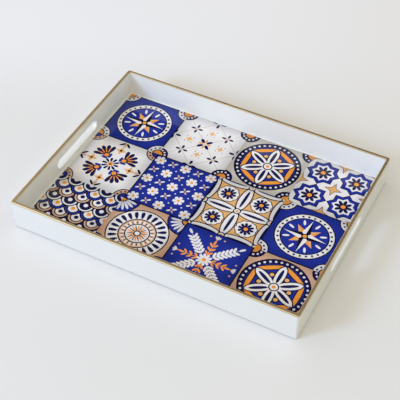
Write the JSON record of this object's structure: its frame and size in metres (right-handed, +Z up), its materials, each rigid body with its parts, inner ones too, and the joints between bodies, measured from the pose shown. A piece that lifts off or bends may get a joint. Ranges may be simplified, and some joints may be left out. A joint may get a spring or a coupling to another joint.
{
  "type": "serving tray",
  "caption": "Rectangular white plastic serving tray with raised walls, cut-out handles in its short ends, a gold rim edge and a tile-patterned floor.",
  "frame": {"origin": "on the table under the middle of the tray, where its feet stand", "axes": "+X along the long side, +Y along the short side towards the back, +Z up out of the tray"},
  "size_m": [0.4, 0.3, 0.045],
  "materials": {
    "white_plastic": "glossy moulded",
    "gold_foil": "metallised gold, satin",
    "printed_paper": "printed tile pattern in blue, ivory and orange",
    "clear_plastic": "clear, glossy",
    "pale_rubber": "matte"
  },
  "bodies": {
    "root": {"tray_body": "white_plastic", "gold_edging": "gold_foil", "printed_sheet": "printed_paper", "clear_film": "clear_plastic", "foot_front_left": "pale_rubber", "foot_front_right": "pale_rubber", "foot_back_left": "pale_rubber", "foot_back_right": "pale_rubber"}
  },
  "joints": []
}
